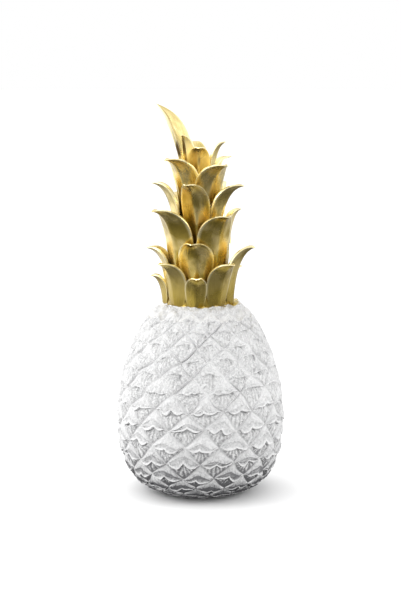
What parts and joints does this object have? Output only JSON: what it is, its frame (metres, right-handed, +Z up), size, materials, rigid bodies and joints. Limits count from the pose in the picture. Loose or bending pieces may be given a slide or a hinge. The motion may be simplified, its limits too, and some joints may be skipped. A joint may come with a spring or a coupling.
{
  "type": "pineapple ornament",
  "caption": "Standing pineapple figure of cast resin, a white fruit with carved diamond eyes under a crown of curling gold leaves.",
  "frame": {"origin": "middle of the flat underside", "axes": "+Z up through the fruit to the crown, the front faces -Y, +X to the right seen from the front"},
  "size_m": [0.1315, 0.1312, 0.3],
  "materials": {
    "white_resin": "cast resin painted matt white with grey left in the carved recesses, and satin gold on the crown"
  },
  "bodies": {
    "root": {"pineapple_ornament": "white_resin"}
  },
  "joints": []
}
